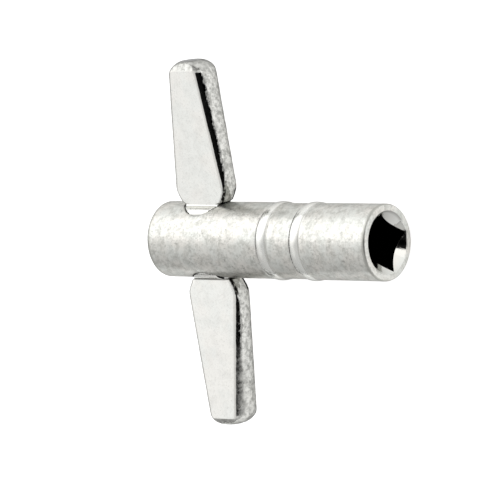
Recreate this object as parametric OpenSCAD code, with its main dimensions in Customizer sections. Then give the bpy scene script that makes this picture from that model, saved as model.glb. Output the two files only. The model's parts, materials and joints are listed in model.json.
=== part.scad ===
// Radiator bleed key: a turned steel barrel with a square socket in its front end, and a
// round bar pressed through the barrel near its rear end, with both ends squeezed flat.
//
// The key lies flat. The origin is the centre of the socket's mouth, the barrel runs along
// +Y behind it, the cross bar runs along X, and +Z is square to the bar's pressed faces.

/* [Barrel] */
// Outside diameter of the barrel
barrel_d = 9; // [8.6:0.1:10]
// Length of the barrel
barrel_l = 32.8; // [31:0.1:36]
// Rounding of the outer edge at the mouth
mouth_round = 0.3; // [0.1:0.05:0.4]
// Rounding of the outer edge at the closed rear end
rear_round = 0.5; // [0.1:0.05:1]

/* [Beads] */
// Distance from the mouth to the middle of the front bead
front_bead_y = 10.4; // [9.5:0.1:11]
// Distance from the mouth to the middle of the rear bead
rear_bead_y = 15.4; // [14:0.1:17]
// Width of a bead where it meets the barrel
bead_w = 1.5; // [1:0.1:1.8]
// Height of a bead above the barrel
bead_h = 0.15; // [0.05:0.05:0.4]
// Depth of the shallow waist turned between the beads
waist_depth = 0.05; // [0.02:0.01:0.2]

/* [Square socket] */
// Distance across the flats of the square
square_af = 5.1; // [4.9:0.05:5.5]
// Depth of the square
square_depth = 12; // [8:0.5:14]
// Depth of the drilled hole that the square is pressed into
pilot_depth = 15; // [14.5:0.5:18]
// Diameter of the lead-in cone at the mouth
lead_in_d = 7.4; // [7.35:0.05:7.6]
// Full angle of the lead-in cone
lead_in_angle = 110; // [90:5:120]
// Turn of the square's corner away from the cross bar's direction
square_turn = 9; // [0:1:45]

/* [Cross bar] */
// Diameter of the bar
bar_d = 5.5; // [5:0.1:6]
// Length of the bar from tip to tip
bar_l = 43.8; // [40:0.2:50]
// How far the bar sits off the barrel's middle, towards -X
bar_shift = 0.35; // [0:0.05:0.5]
// Distance from the mouth to the bar's axis
bar_y = 26.2; // [24:0.1:27]
// Thickness of a wing beside the barrel
root_t = 2.56; // [2.2:0.05:3]
// Thickness of a wing at its tip
tip_t = 4.3; // [3.6:0.05:4.6]
// Radius of a wing's bulging edge beside the barrel
root_edge_r = 1.6; // [1.55:0.05:1.8]
// Radius of the rounding around each end of the bar
tip_dome_r = 2; // [1.9:0.05:2.4]
// Radius of the flat left at the middle of each end
tip_land_r = 0.95; // [0.9:0.05:1.2]
// Length of the bevel where a pressed face meets the bar's end
tip_bevel_l = 0.95; // [0.8:0.05:1.2]
// Height of that bevel
tip_bevel_h = 0.6; // [0.4:0.05:0.7]

/* [Hidden] */
$fn = 96;

barrel_r = barrel_d / 2;
bead_arc_r = (pow(bead_w / 2, 2) + pow(bead_h, 2)) / (2 * bead_h);
pilot_r = square_af / 2;
drill_point_angle = 118;
drill_point_l = pilot_r / tan(drill_point_angle / 2);
lead_in_depth = lead_in_d / 2 / tan(lead_in_angle / 2);

bar_r = bar_d / 2;
edge_meet_x = bar_l / 2 + 0.1;               // where the edge cones of a wing run together
wing_gap = 0.05;                             // between the barrel's side and the wing's wide part
wing_x = barrel_r + wing_gap;                // where the wide part of a wing starts
press_x = barrel_r - 0.95;                   // where the press dies start to bite into the bar
die_clearance = 0.3;                         // between the dies and the round part in the barrel
die_w = 12;                                  // wider than a wing
die_shift = 0.13;                            // how far the dies sit off the barrel's middle
flat_x = barrel_r - 0.1;                     // where the pressed faces become straight
edge_axis_y = 2.7;                           // half the gap between the edge cones beside the barrel
tip_edge_r = 2.71;                           // they meet in one near-round section
edge_run = edge_meet_x - wing_x;
edge_slope = atan(edge_axis_y / edge_run);
edge_l = sqrt(pow(edge_run, 2) + pow(edge_axis_y, 2));
web_end_x = edge_meet_x - 4;                 // past here the edge cones overlap
web_end_y = edge_axis_y * (edge_meet_x - web_end_x) / edge_run;
shoulder_x = wing_x + 2.95;                  // where a wing reaches its full width
shoulder_r = 3.95;                           // how far the full width may stand from the bar's axis
shoulder_arc_r = 5.1;
shoulder_steps = 8;
free_r = shoulder_r + 0.3;                   // past the shoulder the wing is narrower than its limit
free_x = shoulder_x + 2;
eps = 0.01;
spare = 1;                                   // how far a cutting shape runs past what it cuts

// Turns a solid made along +Z so that it runs along +Y, with its base at the mouth.
module along_barrel() {
    rotate([-90, 0, 0]) children();
}

// Half section of the barrel: X is the radius, Y is the distance from the mouth.
module barrel_section() {
    difference() {
        union() {
            square([barrel_r, barrel_l]);
            bead_section(front_bead_y);
            bead_section(rear_bead_y);
        }
        waist_section();
        edge_waste(mouth_round);
        translate([0, barrel_l]) mirror([0, 1]) edge_waste(rear_round);
    }
}

// One rounded bead, as the part of a circle that stands out of the barrel.
module bead_section(y) {
    translate([barrel_r + bead_h - bead_arc_r, y]) circle(r = bead_arc_r);
}

// What the turning tool takes off between the beads.
module waist_section() {
    from_y = front_bead_y + bead_w / 2;
    to_y = rear_bead_y - bead_w / 2;
    translate([barrel_r - waist_depth, from_y]) square([barrel_r, to_y - from_y]);
}

// What rounding takes off the square corner at the mouth end.
module edge_waste(r) {
    difference() {
        translate([barrel_r - r, -eps]) square([r + spare, r + eps]);
        translate([barrel_r - r, r]) circle(r = r);
    }
}

// The hollow inside the barrel: lead-in cone, square, and the end of the drilled hole.
module socket_hollow() {
    lead_in_top_r = lead_in_d / 2 + eps * tan(lead_in_angle / 2);
    translate([0, 0, -eps]) cylinder(h = lead_in_depth + eps, r1 = lead_in_top_r, r2 = 0);
    translate([0, 0, -eps])
        linear_extrude(height = square_depth + eps)
            rotate(-45 - square_turn)
                square(square_af, center = true);
    translate([0, 0, square_depth - spare])
        cylinder(h = pilot_depth - square_depth + spare, r = pilot_r);
    translate([0, 0, pilot_depth]) cylinder(h = drill_point_l, r1 = pilot_r, r2 = 0);
}

// The hole across the barrel that grips the bar.
module bar_hole() {
    translate([0, bar_y, 0])
        rotate([0, 90, 0])
            cylinder(h = barrel_d + 2 * spare, r = bar_r, center = true);
}

module socket_barrel() {
    color("silver")
        difference() {
            along_barrel() rotate_extrude() barrel_section();
            along_barrel() socket_hollow();
            bar_hole();
        }
}

// One bulging edge of a wing: a cone that widens from the barrel to past the tip.
module wing_edge(side) {
    overrun = 1.1;
    end_r = root_edge_r + (tip_edge_r - root_edge_r) * overrun;
    translate([wing_x, side * edge_axis_y, 0])
        rotate([0, 90, -side * edge_slope])
            cylinder(h = edge_l * overrun, r1 = root_edge_r, r2 = end_r);
}

// A wing before pressing: its two edges and the metal between them.
module wing_blank() {
    wing_edge(1);
    wing_edge(-1);
    linear_extrude(height = tip_t + spare, center = true)
        polygon([
            [wing_x, -edge_axis_y],
            [wing_x, edge_axis_y],
            [web_end_x, web_end_y],
            [web_end_x, -web_end_y]
        ]);
}

// Half the gap between the pressed faces, at x along the bar.
function face_at(x) =
    root_t / 2 + (tip_t - root_t) / 2 * (x - flat_x) / (edge_meet_x + spare - flat_x);

// One side of the space between the press dies, drawn in the plane of X and Z.
// offset_x is how far the dies sit from the middle of the barrel.
module die_side_section(tip_x, offset_x) {
    bevel_x = tip_x - tip_bevel_l;
    bevel_end = face_at(bevel_x) - tip_bevel_h * (tip_bevel_l + spare) / tip_bevel_l;
    polygon([
        [-spare, -eps],
        [-spare, bar_r + die_clearance],
        [press_x + offset_x, bar_r],
        [flat_x + offset_x, face_at(flat_x + offset_x)],
        [bevel_x, face_at(bevel_x)],
        [tip_x + spare, bevel_end],
        [tip_x + spare, -eps]
    ]);
}

// Half of the space between the press dies.
module die_gap_section(tip_x, offset_x) {
    die_side_section(tip_x, offset_x);
    mirror([0, 1]) die_side_section(tip_x, offset_x);
}

// Distance of the shoulder's outline from the bar's axis, at x along the bar.
function shoulder_at(x) =
    shoulder_r - shoulder_arc_r + sqrt(pow(shoulder_arc_r, 2) - pow(shoulder_x - x, 2));

// Outer limit of half of the bar, as a turned outline: the shoulder, the wing, the rounded end.
module bar_limit_section(tip_x) {
    shoulder = [
        for (i = [0:shoulder_steps])
            let (x = wing_x + (shoulder_x - wing_x) * i / shoulder_steps)
                [shoulder_at(x), x]
    ];
    straight = [[free_r, free_x], [free_r, tip_x], [0, tip_x]];
    intersection() {
        polygon(concat([[0, 0], [shoulder_at(wing_x), 0]], shoulder, straight));
        union() {
            square([bar_d, tip_x - tip_dome_r]);
            translate([tip_land_r, tip_x - tip_dome_r]) circle(r = tip_dome_r);
            square([tip_land_r, tip_x]);
        }
    }
}

// Half of the bar, from the middle of the barrel to one rounded end.
module half_bar(tip_x, offset_x) {
    intersection() {
        union() {
            rotate([0, 90, 0]) cylinder(h = wing_x + eps, r = bar_r);
            wing_blank();
        }
        rotate([90, 0, 0])
            linear_extrude(height = die_w, center = true)
                die_gap_section(tip_x, offset_x);
        rotate([0, 90, 0]) rotate_extrude() bar_limit_section(tip_x);
    }
}

module cross_bar() {
    color("gainsboro")
        translate([0, bar_y, 0]) {
            half_bar(bar_l / 2 - bar_shift, -die_shift);
            mirror([1, 0, 0]) half_bar(bar_l / 2 + bar_shift, die_shift);
        }
}

socket_barrel();
cross_bar();
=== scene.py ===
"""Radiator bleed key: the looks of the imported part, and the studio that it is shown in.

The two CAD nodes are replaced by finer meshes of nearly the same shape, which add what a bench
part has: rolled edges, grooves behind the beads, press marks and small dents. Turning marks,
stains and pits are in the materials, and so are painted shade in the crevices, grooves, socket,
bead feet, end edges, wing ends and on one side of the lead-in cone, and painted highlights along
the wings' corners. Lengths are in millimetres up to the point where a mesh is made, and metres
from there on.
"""

import json
import math

import bmesh
import bpy
import numpy as np
from mathutils import Matrix, Vector, noise


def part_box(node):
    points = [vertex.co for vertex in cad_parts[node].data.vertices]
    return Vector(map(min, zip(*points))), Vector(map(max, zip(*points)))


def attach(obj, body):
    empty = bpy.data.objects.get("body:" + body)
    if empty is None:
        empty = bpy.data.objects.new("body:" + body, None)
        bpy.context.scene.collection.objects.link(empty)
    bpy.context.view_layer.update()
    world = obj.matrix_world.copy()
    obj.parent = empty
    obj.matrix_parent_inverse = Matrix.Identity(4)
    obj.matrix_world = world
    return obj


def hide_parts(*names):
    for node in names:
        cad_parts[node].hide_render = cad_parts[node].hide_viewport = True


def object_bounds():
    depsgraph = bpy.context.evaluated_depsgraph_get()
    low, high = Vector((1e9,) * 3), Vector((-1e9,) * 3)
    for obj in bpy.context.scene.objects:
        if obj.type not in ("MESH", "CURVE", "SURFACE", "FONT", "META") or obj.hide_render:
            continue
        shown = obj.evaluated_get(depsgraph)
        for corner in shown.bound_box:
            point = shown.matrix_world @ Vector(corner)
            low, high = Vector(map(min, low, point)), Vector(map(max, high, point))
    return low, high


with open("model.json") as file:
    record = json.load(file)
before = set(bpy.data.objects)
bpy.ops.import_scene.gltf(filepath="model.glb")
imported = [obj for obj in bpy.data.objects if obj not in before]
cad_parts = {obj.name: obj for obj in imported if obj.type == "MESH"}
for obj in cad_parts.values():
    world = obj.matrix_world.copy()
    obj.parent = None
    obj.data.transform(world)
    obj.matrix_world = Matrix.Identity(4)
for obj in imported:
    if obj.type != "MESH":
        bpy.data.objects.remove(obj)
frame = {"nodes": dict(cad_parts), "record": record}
cad_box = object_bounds()

MM = 0.001
TAU = 2 * math.pi

# ---------------------------------------------------------------- sizes from the frame

mounts = {m["name"]: m for m in frame["record"]["mounts"]}
barrel_high = np.array(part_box("socket_barrel")[1]) / MM
bar_low, bar_high = (np.array(c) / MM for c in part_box("cross_bar"))

BARREL_R = mounts["nose"]["dims"]["r_mm"]
BARREL_L = barrel_high[1]
BEAD_R = barrel_high[2]
SQUARE_DEPTH = mounts["square_socket"]["dims"]["length_mm"]
BAR_Y = (bar_low[1] + bar_high[1]) / 2
BAR_R = bar_high[2]
BAR_TIPS = {-1: -bar_low[0], 1: bar_high[0]}

# ---------------------------------------------------------------- sizes shared with the CAD source

MOUTH_ROUND = 0.3
REAR_ROUND = 0.5
BEAD_MIDDLES = (10.4, 15.4)
BEAD_HALF = 0.75
WAIST_DEPTH = 0.05
SQUARE_HALF = 2.55
SQUARE_TURN = math.radians(9)
PILOT_DEPTH = 15.0
LEAD_IN_R = 3.7
LEAD_IN_SLOPE = math.tan(math.radians(55))
DRILL_SLOPE = math.tan(math.radians(59))

WING_X = BARREL_R + 0.05
ROOT_HALF_T = 1.28
TIP_HALF_T = 2.15
EDGE_AXIS_Y = 2.7
ROOT_EDGE_R = 1.6
TIP_EDGE_R = 2.71
SHOULDER_X = WING_X + 2.95
SHOULDER_R = 3.95
SHOULDER_ARC_R = 5.1
END_ROUND = 2.0
END_LAND_R = 0.95
END_FLAT = 0.95
EDGE_MEET_X = 22.0
WING_SLOPE = (TIP_HALF_T - ROOT_HALF_T) / (EDGE_MEET_X + 1 - BARREL_R)

# ---------------------------------------------------------------- sizes of the finer shapes

AROUND = 288  # points around the barrel
CUTTER_AROUND = 160  # points around the tool that cuts the cross hole
CUTTER_SPARE = 2  # how far that tool reaches past the barrel's side
PLAIN_STEP = 0.22  # between rings along the barrel's plain lengths
SHORT_STEP = 0.2
HOLE_STEP = 0.1  # between rings beside the cross hole
HOLE_MARGIN = 0.5  # how far the finer rings reach past the hole
HOLE_CLEARANCE = 0.03
HOLE_EDGE_ROLL = 0.11  # depth of the rolled edge of the cross hole
HOLE_EDGE_ROLL_W = 0.3
BEAD_BACK_ANGLE = 15
GROOVE_W = 0.13
GROOVE_DEPTH = 0.1

# On each side of the barrel, where the press starts to bite and where the face gets straight.
PRESS_X = {-1: BARREL_R - 0.82, 1: BARREL_R - 1.08}
FLAT_X = {-1: BARREL_R + 0.03, 1: BARREL_R - 0.23}
RAMP_H = 1.05
END_DROP_SLOPE = 0.4
END_DROP_ROUND = 0.5
FLAT_STEPS = 26  # points across a pressed face
EDGE_STEPS = 34  # points around a bulging edge
LIMIT_ROUND = 0.12  # rounding where a wing meets its outer limit

# ---------------------------------------------------------------- where the looks change

# These marks are drawn in the materials. Most are painted shade; the matt edge is roughness.
CONE_SHADE_SIDE = math.radians(-18)
CONE_SHADE_REACH = (math.radians(34), math.radians(45))
SKIN = 0.3  # depth below the barrel's side that still counts as its surface
HOLE_SHADE_FADE = (0.05, 0.2)  # distance from the cross hole over which its painted shade fades
FOOT_SHADE_FADE = (0.03, 0.2)  # distance from a bead's front foot over which its painted shade line fades
EDGE_SHADE_LINE = 1.8  # strength of the painted shade line at the barrel's two end edges, against a bead's foot
MATT_EDGE_X = (11, 15.5)  # where the outer part of the -X wing's edge turns matt

# ---------------------------------------------------------------- colours and finish

# Near-black painted shade, in the crevices, the grooves, the wings' roots and the socket's walls.
SHADE_BLACK = (0.012, 0.011, 0.010)
# Dark pits, and also the painted shade line along the lead-in cone's rim.
PIT_AND_RIM_SHADE = (0.15, 0.148, 0.14)
# Painted shade on one side of the lead-in cone.
CONE_SHADE = (0.40, 0.40, 0.385)
CONE_ROUGH = 0.06
BARREL_EDGE_TINT = 0.45  # colour of a metal's reflection at grazing angles
BARREL_COOL = (0.63, 0.638, 0.608)
BARREL_WARM = (0.665, 0.65, 0.612)
# Stains and turned rings, and also the painted shade lines at the bead feet and the end edges.
BARREL_STAIN_AND_SHADE = (0.36, 0.36, 0.33)
BEAD_COLOUR = (0.72, 0.725, 0.70)
BAR_EDGE_TINT = 0.35
BAR_COOL = (0.80, 0.805, 0.775)
BAR_WARM = (0.82, 0.81, 0.775)
BAR_EDGE = (0.55, 0.55, 0.525)
BAR_STAIN = (0.27, 0.27, 0.255)
# Painted shade on the wings' ends.
BAR_END_SHADE = (0.42, 0.42, 0.40)
# Painted highlight along the wings' corners.
BAR_CORNER_HIGHLIGHT = (0.86, 0.82, 0.77)
EDGE_MATT_ROUGH = 0.42
BUMP_DEPTH = 0.03
PAPER = (0.72, 0.72, 0.72)
PAPER_GLOW = 0.7

# ---------------------------------------------------------------- the studio's light

TENT_LOW = 0.66
TENT_TOP = 0.78
GAP_Z = 0.02  # height of the dark strip between the floor and the tent
GAP_HALF_W = (0.02, 0.06)
GAP_DARKNESS = 0.75
# The directions were chosen so that the polished faces mirror light and dark strips where the
# photograph shows them. They are fixed in the scene, whatever the camera does.
# Direction, full within these degrees, gone past these degrees, brightness added.
SOFT_LIGHTS = (
    ((0.652, 0.633, 0.417), 14, 52, 1.36),
    ((-0.26, 0.633, 0.73), 9, 20, 0.28),
    ((0.5, -0.85, 0.1), 10, 30, 0.85),
)
# Direction, full within these degrees, gone past these degrees, share of light left.
DARK_GAPS = (
    ((-0.028, -0.798, 0.602), 22.5, 24.5, 0.01),
    ((0.13, -0.95, 0.28), 9.5, 11.5, 0.01),
    ((-0.31, -0.90, 0.305), 5, 6.5, 0.01),
    ((0.0, 1.0, 0.1), 9, 17, 0.1),
)

# ---------------------------------------------------------------- camera and floor

CAMERA_AZIMUTH = math.radians(14.86)
CAMERA_ELEVATION = math.radians(49.1)
CAMERA_ROLL = math.radians(108.2)
CAMERA_DISTANCE = 606.2 * MM
CAMERA_LENS = 370.8
AIM = Vector((-1.2, 20.7, 0.0)) * MM
FLOOR_HALF = 3.0


# ---------------------------------------------------------------- helpers


def smooth_step(low, high, value):
    """0 at low, 1 at high, and a smooth change between them."""
    t = np.clip((value - low) / (high - low), 0, 1)
    return t * t * (3 - 2 * t)


def soft_min(a, b, width):
    """The smaller of a and b, with the corner between them rounded over about width."""
    h = np.clip(0.5 + 0.5 * (b - a) / width, 0, 1)
    return b * (1 - h) + a * h - width * h * (1 - h)


def noise_at(points, scale, seed, octaves=1):
    """Smooth noise, about -1 to 1, at points in millimetres. scale is the size of its grains."""
    shift = Vector((seed * 17.3, seed * 5.1, seed * 11.7))
    values = np.empty(len(points))
    for i, p in enumerate(points):
        place = Vector(p) / scale + shift
        if octaves == 1:
            values[i] = noise.noise(place)
        else:
            values[i] = noise.fractal(place, 0.8, 2.1, octaves)
    return values


def grid_mesh(name, rows, start, end):
    """A closed mesh from rings of points, with a fan to one point at either end."""
    count = len(rows[0])
    last = (len(rows) - 1) * count
    hub = len(rows) * count
    pairs = [(i, (i + 1) % count) for i in range(count)]
    faces = []
    for a in range(0, last, count):
        b = a + count
        faces += [(a + i, a + k, b + k, b + i) for i, k in pairs]
    faces += [(k, i, hub) for i, k in pairs]
    faces += [(last + i, last + k, hub + 1) for i, k in pairs]
    points = np.concatenate([*rows, [start, end]])
    mesh = bpy.data.meshes.new(name)
    mesh.from_pydata((points * MM).tolist(), [], faces)
    mesh.update()
    return mesh


def add_object(name, mesh):
    """Puts the mesh in the scene as an object with smooth shading."""
    obj = bpy.data.objects.new(name, mesh)
    bpy.context.scene.collection.objects.link(obj)
    mesh.polygons.foreach_set("use_smooth", [True] * len(mesh.polygons))
    return obj


def face_outward(mesh):
    """Turns every face of a closed mesh outward."""
    bm = bmesh.new()
    bm.from_mesh(mesh)
    bmesh.ops.recalc_face_normals(bm, faces=bm.faces)
    bm.to_mesh(mesh)
    bm.free()


def set_attribute(mesh, name, values):
    """Stores one number for each vertex, for the materials to read."""
    attribute = mesh.attributes.new(name, "FLOAT", "POINT")
    attribute.data.foreach_set("value", np.asarray(values, np.float32))


def mesh_points(mesh):
    """The mesh's vertices, in millimetres."""
    co = np.empty(len(mesh.vertices) * 3)
    mesh.vertices.foreach_get("co", co)
    return co.reshape(-1, 3) / MM


# ---------------------------------------------------------------- the barrel

angles = SQUARE_TURN + np.arange(AROUND) * TAU / AROUND


def square_radius(angle):
    """Distance from the axis to the square's wall, at an angle around the axis."""
    turned = (angle - SQUARE_TURN) % (TAU / 4) - TAU / 8
    return SQUARE_HALF / np.cos(turned)


def ring(radius, y):
    """A ring of points around the barrel's axis. radius and y may each vary around it."""
    radius = np.broadcast_to(radius, angles.shape)
    y = np.broadcast_to(y, angles.shape)
    return np.stack([radius * np.cos(angles), y, radius * np.sin(angles)], 1)


def arc(centre_r, centre_y, radius, start, end, steps):
    """Points (radius, y) on an arc. Angles are in degrees from the radial direction."""
    turns = np.radians(np.linspace(start, end, steps))
    return [(centre_r + radius * math.cos(t), centre_y + radius * math.sin(t)) for t in turns]


def bead_outline(middle, front_r, rear_r):
    """The outline of one bead and the sharp groove behind it."""
    height = BEAD_R - BARREL_R
    arc_r = (BEAD_HALF**2 + height**2) / (2 * height)
    centre_r = BEAD_R - arc_r
    start = -math.degrees(math.acos((front_r - centre_r) / arc_r))
    crest = arc(centre_r, middle, arc_r, start, BEAD_BACK_ANGLE, 22)
    back_r, back_y = crest[-1]
    turned_over = arc(back_r - 0.05, back_y - 0.01, 0.05, 20, 80, 4)
    floor_y = turned_over[-1][1] + 0.03
    groove = [
        (rear_r - GROOVE_DEPTH, floor_y),
        (rear_r - GROOVE_DEPTH, floor_y + GROOVE_W / 2),
        (rear_r - 0.02, floor_y + GROOVE_W),
        (rear_r, floor_y + GROOVE_W + 0.05),
    ]
    return crest + turned_over + groove


def straight(radius, start, end, step):
    """Points along a plain length of the barrel, without its ends."""
    count = max(2, int(abs(end - start) / step))
    return [(radius, y) for y in np.linspace(start, end, count + 1)[1:-1]]


def barrel_outline():
    """The barrel's outside from the mouth's rim to the middle of the rear end: (radius, y)."""
    waist_r = BARREL_R - WAIST_DEPTH
    front, rear = BEAD_MIDDLES
    front_bead = bead_outline(front, BARREL_R, waist_r)
    rear_bead = bead_outline(rear, waist_r, BARREL_R)
    hole_front = BAR_Y - BAR_R - HOLE_MARGIN
    hole_rear = BAR_Y + BAR_R + HOLE_MARGIN
    outline = [(LEAD_IN_R + 0.03, 0.012), (LEAD_IN_R + 0.09, 0.0)]
    outline += [(r, 0.0) for r in np.linspace(LEAD_IN_R + 0.15, BARREL_R - MOUTH_ROUND, 6)]
    outline += arc(BARREL_R - MOUTH_ROUND, MOUTH_ROUND, MOUTH_ROUND, -80, 0, 8)
    outline += straight(BARREL_R, MOUTH_ROUND, front_bead[0][1], PLAIN_STEP)
    outline += front_bead
    outline += straight(waist_r, front_bead[-1][1], rear_bead[0][1], SHORT_STEP)
    outline += rear_bead
    outline += straight(BARREL_R, rear_bead[-1][1], hole_front, PLAIN_STEP)
    outline += straight(BARREL_R, hole_front - 0.11, hole_rear, HOLE_STEP)
    outline += straight(BARREL_R, hole_rear - 0.1, BARREL_L - REAR_ROUND, SHORT_STEP)
    outline += arc(BARREL_R - REAR_ROUND, BARREL_L - REAR_ROUND, REAR_ROUND, 0, 84, 10)
    outline += [(r, BARREL_L) for r in np.linspace(BARREL_R - REAR_ROUND - 0.1, 0.25, 16)]
    return outline


def socket_rings():
    """Rings from the rear of the hollow out to the mouth's rim."""
    wall = square_radius(angles)
    lead_in_end = (LEAD_IN_R - wall) / LEAD_IN_SLOPE
    rings = []
    cone_end = PILOT_DEPTH + SQUARE_HALF / DRILL_SLOPE
    for r in (0.4, 1.0, 1.8):
        rings.append(ring(r, cone_end - r / DRILL_SLOPE))
    for y in (PILOT_DEPTH, 14.0, 13.0, SQUARE_DEPTH + 0.05):
        rings.append(ring(SQUARE_HALF - 0.01, y))
    rings.append(ring(wall - 0.02, SQUARE_DEPTH))
    for share in (0.02, 0.15, 0.3, 0.45, 0.6, 0.72, 0.82, 0.9, 0.95, 0.98, 0.999):
        rings.append(ring(wall, SQUARE_DEPTH + (lead_in_end - SQUARE_DEPTH) * share))
    for share in (0.0, 0.01, 0.04, 0.12, 0.25, 0.4, 0.55, 0.7, 0.85, 0.95):
        rings.append(ring(wall + (LEAD_IN_R - wall) * share, lead_in_end * (1 - share)))
    return rings, cone_end


def make_barrel():
    """The barrel's finer mesh, with the socket inside it and the cross hole cut through it."""
    rings, cone_end = socket_rings()
    outside = [ring(r, y) for r, y in barrel_outline()]
    ends = (0, cone_end, 0), (0, BARREL_L, 0)
    mesh = grid_mesh("socket_barrel_visual", rings + outside, *ends)
    face_outward(mesh)
    barrel = add_object("barrel_shell", mesh)
    shape_barrel_surface(mesh)
    cut_bar_hole(barrel)
    barrel_attributes(barrel.data)
    return barrel


def shape_barrel_surface(mesh):
    """Small dents and waves, and the rolled edge of the cross hole."""
    points = mesh_points(mesh)
    radius = np.hypot(points[:, 0], points[:, 2])
    outside = radius > BARREL_R - 0.35
    unit = points[:, [0, 2]] / np.maximum(radius, 0.01)[:, None]
    waves = noise_at(points, 3.2, 1) * 0.012 + noise_at(points, 0.9, 2) * 0.006
    from_hole = np.hypot(points[:, 1] - BAR_Y, points[:, 2]) - BAR_R
    rolled = HOLE_EDGE_ROLL * (1 - smooth_step(0.0, HOLE_EDGE_ROLL_W, from_hole)) ** 2
    change = np.where(outside, waves - rolled * (np.abs(points[:, 0]) > 2), 0)
    points[:, 0] += unit[:, 0] * change
    points[:, 2] += unit[:, 1] * change
    points[:, 2] = np.clip(points[:, 2], -BEAD_R, BEAD_R)
    mesh.vertices.foreach_set("co", (points * MM).ravel())
    mesh.update()


def cut_bar_hole(barrel):
    """Cuts the cross hole that the bar is pressed through."""
    hole_r = BAR_R + HOLE_CLEARANCE
    reach = BARREL_R + CUTTER_SPARE
    turns = np.arange(CUTTER_AROUND) * TAU / CUTTER_AROUND
    hole_y, hole_z = BAR_Y + hole_r * np.cos(turns), hole_r * np.sin(turns)
    rows = [
        np.stack([np.full(CUTTER_AROUND, x), hole_y, hole_z], 1) for x in (-reach, 0, reach)
    ]
    ends = [(x, BAR_Y, 0) for x in (-reach, reach)]
    cutter_mesh = grid_mesh("hole_cutter", rows, ends[0], ends[1])
    face_outward(cutter_mesh)
    cutter = add_object("hole_cutter", cutter_mesh)
    cut = barrel.modifiers.new("cross hole", "BOOLEAN")
    cut.operation = "DIFFERENCE"
    cut.solver = "EXACT"
    cut.object = cutter
    bpy.context.view_layer.update()
    result = bpy.data.meshes.new_from_object(
        barrel.evaluated_get(bpy.context.evaluated_depsgraph_get())
    )
    barrel.modifiers.clear()
    barrel.data = result
    bpy.data.objects.remove(cutter)
    result.polygons.foreach_set("use_smooth", [True] * len(result.polygons))


def mark_socket(mesh, points, radius):
    """Marks the socket's walls, its lead-in cone, and the side of the cone that is painted darker
    as shade.
    """
    around = np.arctan2(points[:, 2], points[:, 0])
    inside = (radius < LEAD_IN_R - 0.02) & (points[:, 1] < BARREL_L - 1)
    on_wall = inside & (radius < square_radius(around) + 0.004)
    lead_in = (radius < LEAD_IN_R - 0.01) & (points[:, 1] < 1.4)
    from_side = np.abs((around - CONE_SHADE_SIDE + math.pi) % TAU - math.pi)
    # The side of the cone that gets painted shade.
    cone_dull = lead_in * (1 - smooth_step(*CONE_SHADE_REACH, from_side))
    # The socket's walls get painted near-black as shade.
    set_attribute(mesh, "socket_depth", on_wall)
    set_attribute(mesh, "cone_dull", cone_dull)
    # A painted shade line along the cone's rim, on its shaded side.
    set_attribute(mesh, "rim_line", cone_dull * smooth_step(0.26, 0.1, LEAD_IN_R - radius))
    set_attribute(mesh, "lead_in", lead_in)


def hole_shade(points):
    """How near to the cross hole's edge each point is, for the painted shade there, but fainter
    over the bar on the +X side.
    """
    from_hole = np.hypot(points[:, 1] - BAR_Y, points[:, 2]) - BAR_R
    near = (1 - smooth_step(*HOLE_SHADE_FADE, from_hole)) * (np.abs(points[:, 0]) > 1)
    over_bar = smooth_step(0.86 * BAR_R, 0.97 * BAR_R, np.abs(points[:, 2]))
    return near * (1 - 0.6 * over_bar * (points[:, 0] > 0))


def bead_marks(points, radius):
    """The groove behind each bead, the bead itself, and the foot in front of it, which get painted
    shade.
    """
    groove, bead, foot = np.zeros((3, len(points)))
    at_surface = radius > BARREL_R - SKIN
    lowered = at_surface & (radius < BARREL_R - WAIST_DEPTH - 0.01)
    for middle in BEAD_MIDDLES:
        behind = points[:, 1] - middle
        in_groove = lowered & (behind > 0) & (behind < BEAD_HALF + GROOVE_W)
        groove = np.maximum(groove, in_groove)
        bead = np.maximum(bead, (np.abs(behind) < BEAD_HALF) & (radius > BARREL_R - 0.01))
        foot = np.maximum(foot, 1 - smooth_step(*FOOT_SHADE_FADE, np.abs(behind + BEAD_HALF)))
    return groove, bead, foot * at_surface


def end_edges(points, radius):
    """How near to the rounded edge of the rear end, or of the mouth, each point is."""
    at_rear = smooth_step(BARREL_L - 0.62, BARREL_L - 0.4, points[:, 1])
    at_rear *= smooth_step(BARREL_R - 0.35, BARREL_R - 0.2, radius)
    at_mouth = smooth_step(0.03, 0.1, points[:, 1]) * smooth_step(0.42, 0.3, points[:, 1])
    at_mouth *= radius > BARREL_R - 0.14
    return np.maximum(at_rear, at_mouth)


def barrel_attributes(mesh):
    """Marks the socket, its cone, the beads, and the painted shade at the cross hole, grooves,
    bead feet and end edges, for the barrel's material.
    """
    points = mesh_points(mesh)
    radius = np.hypot(points[:, 0], points[:, 2])
    mark_socket(mesh, points, radius)
    groove, bead, foot = bead_marks(points, radius)
    # Painted shade at the cross hole's edge and in the grooves behind the beads.
    set_attribute(mesh, "crevice", np.maximum(hole_shade(points), groove))
    set_attribute(mesh, "bead", bead)
    # Painted shade lines at each bead's front foot and along the barrel's end edges.
    set_attribute(mesh, "foot", np.maximum(foot, EDGE_SHADE_LINE * end_edges(points, radius)))


# ---------------------------------------------------------------- the cross bar


def half_thickness(x, side):
    """Half the bar's thickness, at x along the half of it on that side."""
    press_x, flat_x = PRESS_X[side], FLAT_X[side]
    if x < press_x:
        return BAR_R + 0.02
    if x < flat_x:
        share = (x - press_x) / (flat_x - press_x)
        flat_half = ROOT_HALF_T + (flat_x - BARREL_R) * WING_SLOPE
        return flat_half + RAMP_H * math.sqrt(1 - share**2)
    into_end = min(max((x - (BAR_TIPS[side] - END_FLAT)) / END_FLAT, 0), 0.99)
    drop = END_DROP_SLOPE * into_end + END_DROP_ROUND * (1 - math.sqrt(1 - into_end**2))
    return ROOT_HALF_T + (x - BARREL_R) * WING_SLOPE - drop


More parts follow.
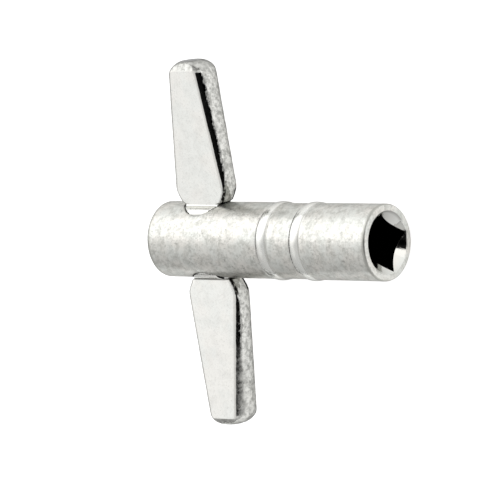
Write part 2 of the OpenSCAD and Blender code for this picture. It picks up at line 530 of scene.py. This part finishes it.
def bar_limit(x, tip_x):
    """How far the bar's surface may be from its axis, at x along one half of the bar."""
    if x < WING_X:
        return BAR_R
    reach = max(0.0, SHOULDER_X - x)
    limit = SHOULDER_R - SHOULDER_ARC_R + math.sqrt(SHOULDER_ARC_R**2 - reach**2)
    into_end = x - (tip_x - END_ROUND)
    if into_end > 0:
        rounded = END_LAND_R + math.sqrt(max(END_ROUND**2 - into_end**2, 0))
        limit = min(limit, rounded)
    return limit


def bar_section(x, side):
    """The bar's outline in the plane of Y and Z, at x along the half of it on that side."""
    half_t = half_thickness(x, side)
    if x < WING_X:
        axis_y, edge_r = 0.0, BAR_R
    else:
        share = (x - WING_X) / (EDGE_MEET_X - WING_X)
        axis_y = EDGE_AXIS_Y * max(0.0, 1 - share)
        edge_r = ROOT_EDGE_R + (TIP_EDGE_R - ROOT_EDGE_R) * share
    bite = min(half_t / edge_r, 1.0)
    first = math.acos(bite)
    flat_half = axis_y + edge_r * math.sin(first)
    turns = np.linspace(first, math.pi - first, EDGE_STEPS)
    edge = np.stack([axis_y + edge_r * np.sin(turns), edge_r * np.cos(turns)], 1)
    top = np.stack(
        [
            np.linspace(-flat_half, flat_half, FLAT_STEPS + 2)[1:-1],
            np.full(FLAT_STEPS, half_t if x > WING_X else min(half_t, edge_r)),
        ],
        1,
    )
    outline = np.concatenate([top, edge, -top, -edge])
    radius = np.hypot(outline[:, 0], outline[:, 1])
    limit = bar_limit(x, BAR_TIPS[side])
    if x < WING_X:
        held = np.minimum(radius, limit)
    else:
        held = soft_min(radius, np.full_like(radius, limit), LIMIT_ROUND)
    outline *= (held / radius)[:, None]
    return outline


def bar_stations(tip_x):
    """Places along half of the bar where its outline is drawn, from its middle to its end."""
    turns = np.radians(np.linspace(0, 87, 30))
    rounded = [tip_x - END_ROUND + END_ROUND * math.sin(t) for t in turns]
    places = [1.5, 2.6, 3.2]
    places += list(np.arange(3.4, 6.4, 0.07))
    places += list(np.arange(6.4, rounded[0] - 0.05, 0.13))
    near_end = list(tip_x - END_FLAT + np.arange(-0.12, 0.13, 0.06))
    rounded = [x for x in rounded if min(abs(x - e) for e in near_end) > 0.04]
    return sorted(places + near_end + rounded) + [tip_x]


def make_bar():
    """The bar's finer mesh, as one skin over the outlines along it."""
    sections = [(0.0, bar_section(0.0, 1))]
    for side in (-1, 1):
        half = [(side * x, bar_section(x, side)) for x in bar_stations(BAR_TIPS[side])]
        sections = half[::-1] + sections if side < 0 else sections + half
    rows = [
        np.column_stack([np.full(len(outline), x), BAR_Y + outline[:, 0], outline[:, 1]])
        for x, outline in sections
    ]
    ends = [np.array((side * BAR_TIPS[side], BAR_Y, 0)) for side in (-1, 1)]
    shares = (0.2, 0.45, 0.75)
    low_cap = [ends[0] + (rows[0] - ends[0]) * share for share in shares]
    high_cap = [ends[1] + (rows[-1] - ends[1]) * share for share in reversed(shares)]
    rows = low_cap + rows + high_cap
    mesh = grid_mesh("cross_bar_visual", rows, ends[0], ends[1])
    face_outward(mesh)
    soften(mesh, 2)
    shape_bar_surface(mesh)
    bar = add_object("bar_body", mesh)
    bar_attributes(mesh)
    return bar


def soften(mesh, rounds):
    """Rounds the creases of a mesh a little, by moving each vertex towards its neighbours."""
    bm = bmesh.new()
    bm.from_mesh(mesh)
    for _ in range(rounds):
        bmesh.ops.smooth_vert(
            bm, verts=bm.verts, factor=0.5, use_axis_x=True, use_axis_y=True, use_axis_z=True
        )
    bm.to_mesh(mesh)
    bm.free()


def shape_bar_surface(mesh):
    """The rough bulging edges of the wings, and the faint waves of their pressed faces."""
    points = mesh_points(mesh)
    normals = np.array([v.normal[:] for v in mesh.vertices])
    from_axis = np.abs(points[:, 0])
    tilt = 1 - np.abs(normals[:, 2])
    on_wing = smooth_step(WING_X - 0.1, WING_X + 0.4, from_axis)
    on_edge = smooth_step(0.1, 0.5, tilt) * on_wing
    rough = noise_at(points, 0.34, 3, 2) * 0.014 + noise_at(points, 0.7, 7, 2) * 0.014
    rough += noise_at(points, 1.6, 4) * 0.03
    flat = noise_at(points, 2.4, 5) * 0.008 + noise_at(points, 0.7, 6) * 0.003
    change = rough * on_edge + flat * (1 - on_edge) * on_wing
    points += normals * change[:, None]
    points[:, 0] = np.clip(points[:, 0], -BAR_TIPS[-1], BAR_TIPS[1])
    points[:, 1] = np.clip(points[:, 1], bar_low[1], bar_high[1])
    mesh.vertices.foreach_set("co", (points * MM).ravel())
    mesh.update()
    mark_wings(mesh, points, from_axis, tilt, on_wing, on_edge)


def mark_wings(mesh, points, from_axis, tilt, on_wing, on_edge):
    """Marks the rough edges, the ends and roots that get painted shade, and the corners that get a
    painted highlight.
    """
    tip_x = np.where(points[:, 0] > 0, BAR_TIPS[1], BAR_TIPS[-1])
    on_tip = smooth_step(-0.05, 0.1, from_axis - (tip_x - END_FLAT))
    on_tip *= smooth_step(0.01, 0.05, tilt)
    set_attribute(mesh, "edge_face", np.maximum(on_edge, on_tip))
    # The wings' ends, which get painted shade.
    set_attribute(mesh, "end_face", on_tip)
    outer = smooth_step(*MATT_EDGE_X, -points[:, 0])
    set_attribute(mesh, "matt_edge", on_edge * outer * (1 - on_tip))
    crease = smooth_step(0.004, 0.03, tilt) * (1 - smooth_step(0.1, 0.2, tilt)) * on_wing
    near_root = 1 - smooth_step(WING_X + 1.5, WING_X + 2.1, from_axis)
    # The corners along the pressed faces, which get a painted highlight.
    set_attribute(mesh, "corner", crease * (1 - near_root) * (1 - on_tip))
    half_t = ROOT_HALF_T + (from_axis - BARREL_R) * WING_SLOPE
    below = half_t - np.abs(points[:, 2])
    line = smooth_step(0.0, 0.06, below) * (1 - smooth_step(0.42, 0.6, below))
    line *= smooth_step(0.1, 0.4, tilt) * smooth_step(WING_X - 0.15, WING_X - 0.05, from_axis)
    # A painted shade line at each wing's root, beside the barrel.
    set_attribute(mesh, "root_crease", line * near_root)


def bar_attributes(mesh):
    """How near to the barrel's hole each vertex is, and whether it is on the +X side's ramp."""
    points = mesh_points(mesh)
    surface = np.sqrt(np.maximum(BARREL_R**2 - points[:, 2] ** 2, 0))
    beyond = np.abs(points[:, 0]) - surface
    near = 1 - smooth_step(-0.08, 0.0, beyond)
    middle = (1 - smooth_step(1.2, 1.9, np.abs(points[:, 1] - BAR_Y))) * (points[:, 0] > 0)
    # Painted shade where the bar goes into the barrel's hole, fainter in the middle of the +X
    # side.
    set_attribute(mesh, "crevice", near * (1 - 0.9 * middle))
    on_ramp = smooth_step(PRESS_X[1] - 0.1, PRESS_X[1], points[:, 0])
    on_ramp *= smooth_step(FLAT_X[1] + 0.02, FLAT_X[1] - 0.02, points[:, 0])
    set_attribute(mesh, "ramp_dull", on_ramp)


# ---------------------------------------------------------------- materials


class Shading:
    """A short way to build the shader nodes of one material or world."""

    def __init__(self, tree):
        self.tree = tree
        tree.nodes.clear()
        self.place = None

    def add(self, kind, **settings):
        node = self.tree.nodes.new(kind)
        for key, value in settings.items():
            setattr(node, key, value)
        return node

    def fill(self, socket, value):
        """Links a socket to another node's output, or sets it to a number or colour."""
        if isinstance(value, bpy.types.NodeSocket):
            self.tree.links.new(value, socket)
        elif isinstance(value, tuple) and socket.type == "RGBA":
            socket.default_value = (*value, 1)
        else:
            socket.default_value = value

    def math(self, operation, a, b):
        node = self.add("ShaderNodeMath", operation=operation)
        self.fill(node.inputs[0], a)
        self.fill(node.inputs[1], b)
        return node.outputs[0]

    def ramp(self, source, low, high, to_low, to_high, smooth=False):
        """Maps source from low...high to to_low...to_high, and holds it at the ends."""
        node = self.add("ShaderNodeMapRange")
        if smooth:
            node.interpolation_type = "SMOOTHSTEP"
        for name, value in (
            ("Value", source),
            ("From Min", low),
            ("From Max", high),
            ("To Min", to_low),
            ("To Max", to_high),
        ):
            self.fill(node.inputs[name], value)
        return node.outputs["Result"]

    def mix(self, factor, a, b):
        node = self.add("ShaderNodeMix", data_type="RGBA")
        self.fill(node.inputs[0], factor)
        self.fill(node.inputs[6], a)
        self.fill(node.inputs[7], b)
        return node.outputs[2]

    def grain(self, size_mm, detail=2.0, stretch=(1, 1, 1), rough=0.5):
        """Noise over the object, 0 to 1, with grains of about size_mm."""
        if self.place is None:
            self.place = self.add("ShaderNodeTexCoord").outputs["Object"]
        mapping = self.add("ShaderNodeMapping")
        mapping.inputs["Scale"].default_value = stretch
        self.fill(mapping.inputs["Vector"], self.place)
        noise_node = self.add("ShaderNodeTexNoise")
        self.fill(noise_node.inputs["Vector"], mapping.outputs["Vector"])
        noise_node.inputs["Scale"].default_value = 1 / (size_mm * MM)
        noise_node.inputs["Detail"].default_value = detail
        noise_node.inputs["Roughness"].default_value = rough
        return noise_node.outputs["Fac"]

    def stored(self, name):
        """A number stored on the mesh."""
        return self.add("ShaderNodeAttribute", attribute_name=name).outputs["Fac"]


def new_metal(name, edge_tint):
    """A metal surface shader, and the object that adds nodes to it."""
    material = bpy.data.materials.new(name)
    material.use_nodes = True
    n = Shading(material.node_tree)
    out = n.add("ShaderNodeOutputMaterial")
    shader = n.add("ShaderNodeBsdfPrincipled")
    shader.inputs["Metallic"].default_value = 1.0
    shader.inputs["Specular Tint"].default_value = (edge_tint, edge_tint, edge_tint, 1)
    n.fill(out.inputs["Surface"], shader.outputs["BSDF"])
    return material, n, shader


def broken_line(n, mark):
    """A painted shade line with gaps in it, broken up by noise."""
    return n.math("MULTIPLY", mark, n.ramp(n.grain(0.35, 2), 0.33, 0.45, 0.0, 1))


def set_bump(n, shader, height, strength):
    """Adds the fine relief that is too small for the mesh."""
    bump = n.add("ShaderNodeBump")
    bump.inputs["Strength"].default_value = strength
    bump.inputs["Distance"].default_value = BUMP_DEPTH * MM
    n.fill(bump.inputs["Height"], height)
    n.fill(shader.inputs["Normal"], bump.outputs["Normal"])


def barrel_plating(n, matt, rings, pits):
    """The plating's colour: cool and warm areas, turned rings, stains, pits and bright specks."""
    warm = n.ramp(n.grain(2.2, 3), 0.4, 0.6, 0, 1)
    base = n.mix(warm, BARREL_COOL, BARREL_WARM)
    base = n.mix(n.math("MULTIPLY", n.ramp(rings, 0.5, 0.75, 0, 0.25), matt), base, BARREL_STAIN_AND_SHADE)
    stains = n.ramp(n.grain(0.8, 4, rough=0.75), 0.44, 0.64, 0, 0.66)
    base = n.mix(n.math("MULTIPLY", stains, matt), base, BARREL_STAIN_AND_SHADE)
    few = n.ramp(n.grain(2.3, 3), 0.42, 0.58, 0.05, 0.9)
    base = n.mix(n.math("MULTIPLY", n.math("MULTIPLY", pits, few), matt), base, PIT_AND_RIM_SHADE)
    bright = n.ramp(n.grain(0.3, 3, rough=0.7), 0.56, 0.7, 0, 0.5)
    return n.mix(n.math("MULTIPLY", bright, matt), base, BEAD_COLOUR)


def barrel_marks(n, base, bead):
    """The colours of the beads, the painted shade lines beside them and at the end edges, the
    lead-in cone's painted shade, and the painted shade in crevices and the socket.
    """
    base = n.mix(n.ramp(bead, 0, 1, 0, 0.5), base, BEAD_COLOUR)
    # Painted shade lines at the bead feet and the end edges.
    base = n.mix(n.math("MULTIPLY", n.stored("foot"), 0.45), base, BARREL_STAIN_AND_SHADE)
    # Painted shade on one side of the lead-in cone.
    base = n.mix(n.math("MULTIPLY", n.stored("cone_dull"), 0.9), base, CONE_SHADE)
    # A painted shade line along the cone's rim.
    base = n.mix(n.math("MULTIPLY", n.stored("rim_line"), 0.6), base, PIT_AND_RIM_SHADE)
    # Painted shade at the cross hole's edge and in the grooves.
    base = n.mix(broken_line(n, n.stored("crevice")), base, SHADE_BLACK)
    # The socket's walls, painted near-black as shade.
    return n.mix(n.stored("socket_depth"), base, SHADE_BLACK)


def barrel_metal():
    """Dull plating over turned steel: fine rings, pits, smooth beads, and a socket painted
    near-black as shade.
    """
    material, n, shader = new_metal("plated_barrel", BARREL_EDGE_TINT)
    bead = n.stored("bead")
    lead_in = n.stored("lead_in")
    matt = n.math("SUBTRACT", 1.0, n.math("MAXIMUM", bead, lead_in))
    rings = n.grain(1.4, 3, stretch=(0.5, 10, 0.5), rough=0.6)
    pits = n.ramp(n.grain(0.26, 3, rough=0.7), 0.55, 0.68, 0, 0.6)
    base = barrel_plating(n, matt, rings, pits)
    n.fill(shader.inputs["Base Color"], barrel_marks(n, base, bead))
    rough = n.ramp(n.grain(0.6, 4), 0.3, 0.7, 0.27, 0.4)
    rough = n.math("SUBTRACT", rough, n.math("MULTIPLY", bead, 0.1))
    rough = n.ramp(lead_in, 0, 1, rough, CONE_ROUGH)
    n.fill(shader.inputs["Roughness"], rough)
    fine = n.math("MULTIPLY", n.grain(0.24, 3), 1.5)
    height = n.math("ADD", n.math("MULTIPLY", rings, 0.7), fine)
    height = n.math("ADD", height, n.math("MULTIPLY", pits, -0.9))
    height = n.math("MULTIPLY", height, n.math("ADD", n.math("MULTIPLY", matt, 0.85), 0.15))
    set_bump(n, shader, height, 0.6)
    return material


def bar_plating(n, edge):
    """The plating's colour: cool and warm areas and stains, darker edges, and painted shade on the
    ends.
    """
    warm = n.ramp(n.grain(3.0, 2), 0.42, 0.58, 0, 1)
    base = n.mix(warm, BAR_COOL, BAR_WARM)
    base = n.mix(n.ramp(n.grain(1.3, 3), 0.45, 0.75, 0, 0.12), base, BAR_STAIN)
    base = n.mix(n.ramp(n.grain(0.3, 3), 0.5, 0.75, 0, 0.14), base, BAR_STAIN)
    base = n.mix(n.math("MULTIPLY", edge, 0.75), base, BAR_EDGE)
    # Painted shade on the wings' ends.
    base = n.mix(n.math("MULTIPLY", n.stored("end_face"), 0.6), base, BAR_END_SHADE)
    blotches = n.ramp(n.grain(0.6, 4, rough=0.65), 0.42, 0.62, 0, 0.85)
    return n.mix(n.math("MULTIPLY", blotches, edge), base, BAR_STAIN)


def bar_marks(n, base, edge):
    """The dull ramp, pits, painted highlights along the corners, and painted shade at the roots
    and in the cross hole.
    """
    dirt = n.ramp(n.grain(0.4, 3), 0.35, 0.65, 0.25, 0.8)
    base = n.mix(n.math("MULTIPLY", n.stored("ramp_dull"), dirt), base, BAR_EDGE)
    pits = n.ramp(n.grain(0.2, 3, rough=0.65), 0.6, 0.7, 0, 0.6)
    few = n.math("ADD", n.math("MULTIPLY", edge, 0.7), n.ramp(n.grain(1.6, 2), 0.5, 0.65, 0, 0.5))
    base = n.mix(n.math("MULTIPLY", pits, few), base, PIT_AND_RIM_SHADE)
    # Painted highlight along the corners, broken up by noise.
    corner_patches = n.ramp(n.grain(0.4, 2), 0.35, 0.6, 0.2, 1)
    corner = n.math("MULTIPLY", n.stored("corner"), corner_patches)
    base = n.mix(n.math("MULTIPLY", corner, 0.5), base, BAR_CORNER_HIGHLIGHT)
    # Painted shade at the wings' roots and in the cross hole.
    crevice = n.math("MAXIMUM", n.stored("crevice"), n.stored("root_crease"))
    return n.mix(broken_line(n, crevice), base, SHADE_BLACK)


def bar_metal():
    """Bright plating over pressed steel: smooth faces, rough edges, and painted highlights along
    the corners.
    """
    material, n, shader = new_metal("plated_bar", BAR_EDGE_TINT)
    edge = n.stored("edge_face")
    n.fill(shader.inputs["Base Color"], bar_marks(n, bar_plating(n, edge), edge))
    rough = n.ramp(n.grain(0.7, 4), 0.3, 0.7, 0.09, 0.17)
    rough = n.math("SUBTRACT", rough, n.math("MULTIPLY", edge, 0.06))
    matt = n.math("MULTIPLY", n.stored("matt_edge"), n.ramp(n.grain(0.4, 3), 0.35, 0.6, 0.5, 1))
    n.fill(shader.inputs["Roughness"], n.ramp(matt, 0, 1, rough, EDGE_MATT_ROUGH))
    peel = n.math("MULTIPLY", n.math("MULTIPLY", n.grain(0.4, 3), 1.4), edge)
    height = n.math("ADD", n.math("MULTIPLY", n.grain(0.9, 4), 0.25), peel)
    set_bump(n, shader, height, 0.4)
    return material


def floor_material():
    """White paper that glows a little, so that it shows next to no shadow."""
    material = bpy.data.materials.new("paper")
    material.use_nodes = True
    shader = material.node_tree.nodes["Principled BSDF"]
    shader.inputs["Base Color"].default_value = (*PAPER, 1)
    shader.inputs["Roughness"].default_value = 0.9
    shader.inputs["Specular IOR Level"].default_value = 0.0
    shader.inputs["Emission Color"].default_value = (1, 1, 1, 1)
    shader.inputs["Emission Strength"].default_value = PAPER_GLOW
    return material


# ---------------------------------------------------------------- studio


def view_axes(azimuth, elevation):
    """Directions back to the camera, to its right and up, before any roll."""
    back = Vector(
        (
            math.sin(azimuth) * math.cos(elevation),
            -math.cos(azimuth) * math.cos(elevation),
            math.sin(elevation),
        )
    )
    right = Vector((math.cos(azimuth), math.sin(azimuth), 0))
    return back, right, back.cross(right)


def make_camera():
    """A camera at the photograph's viewing angle, with its roll."""
    back, right, up = view_axes(CAMERA_AZIMUTH, CAMERA_ELEVATION)
    rolled_up = up * math.cos(CAMERA_ROLL) + right * math.sin(CAMERA_ROLL)
    rolled_right = rolled_up.cross(back)
    data = bpy.data.cameras.new("camera")
    data.sensor_width = 36
    data.lens = CAMERA_LENS
    data.clip_start = 0.05
    data.clip_end = 20
    camera = bpy.data.objects.new("camera", data)
    turn = Matrix((rolled_right, rolled_up, back)).transposed()
    camera.matrix_world = Matrix.Translation(AIM + back * CAMERA_DISTANCE) @ turn.to_4x4()
    bpy.context.scene.collection.objects.link(camera)
    bpy.context.scene.camera = camera


def make_floor():
    """A plain pale floor at the height of the part's lowest point."""
    ground = float(cad_box[0][2])
    mesh = bpy.data.meshes.new("floor")
    corners = [
        (x * FLOOR_HALF, y * FLOOR_HALF, ground) for x, y in ((-1, -1), (1, -1), (1, 1), (-1, 1))
    ]
    mesh.from_pydata(corners, [], [(0, 1, 2, 3)])
    mesh.materials.append(floor_material())
    floor = bpy.data.objects.new("floor", mesh)
    bpy.context.scene.collection.objects.link(floor)


def make_world():
    """A studio around the key, as brightness by direction: a tent, soft lights and dark gaps."""
    world = bpy.data.worlds.new("studio")
    bpy.context.scene.world = world
    world.use_nodes = True
    n = Shading(world.node_tree)
    out = n.add("ShaderNodeOutputWorld")
    light = n.add("ShaderNodeBackground")
    n.fill(out.inputs["Surface"], light.outputs[0])
    direction = n.add("ShaderNodeTexCoord").outputs["Generated"]

    def patch(aim, inner, outer):
        """1 within inner degrees of a direction, and 0 past outer degrees from it."""
        dot = n.add("ShaderNodeVectorMath", operation="DOT_PRODUCT")
        n.fill(dot.inputs[0], direction)
        dot.inputs[1].default_value = Vector(aim).normalized()
        far, near = (math.cos(math.radians(a)) for a in (outer, inner))
        return n.ramp(dot.outputs["Value"], far, near, 0, 1, smooth=True)

    height = n.add("ShaderNodeSeparateXYZ")
    n.fill(height.inputs[0], direction)
    total = n.ramp(height.outputs["Z"], 0.0, 0.9, TENT_LOW, TENT_TOP)
    for aim, inner, outer, amount in SOFT_LIGHTS:
        total = n.math("ADD", total, n.math("MULTIPLY", patch(aim, inner, outer), amount))
    for aim, inner, outer, left in DARK_GAPS:
        total = n.math("MULTIPLY", total, n.ramp(patch(aim, inner, outer), 0, 1, 1.0, left))
    from_gap = n.math("ABSOLUTE", n.math("SUBTRACT", height.outputs["Z"], GAP_Z), 0)
    in_gap = n.ramp(from_gap, *GAP_HALF_W, GAP_DARKNESS, 0)
    in_gap = n.math("MULTIPLY", in_gap, n.ramp(height.outputs["Y"], -0.5, -0.2, 0, 1))
    total = n.math("MULTIPLY", total, n.math("SUBTRACT", 1, in_gap))
    n.fill(light.inputs["Color"], total)


# ---------------------------------------------------------------- assembly

make_camera()
make_floor()
make_world()

barrel = make_barrel()
bar = make_bar()

for piece, metal, node_name, slot in (
    (barrel, barrel_metal(), "socket_barrel", "plated_barrel"),
    (bar, bar_metal(), "cross_bar", "plated_bar"),
):
    piece.data.materials.clear()
    piece.data.materials.append(metal)
    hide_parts(node_name)
    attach(piece, "root")
    frame["nodes"][node_name].data.materials.clear()
    frame["nodes"][node_name].data.materials.append(metal)

bpy.context.scene.view_settings.view_transform = "Standard"
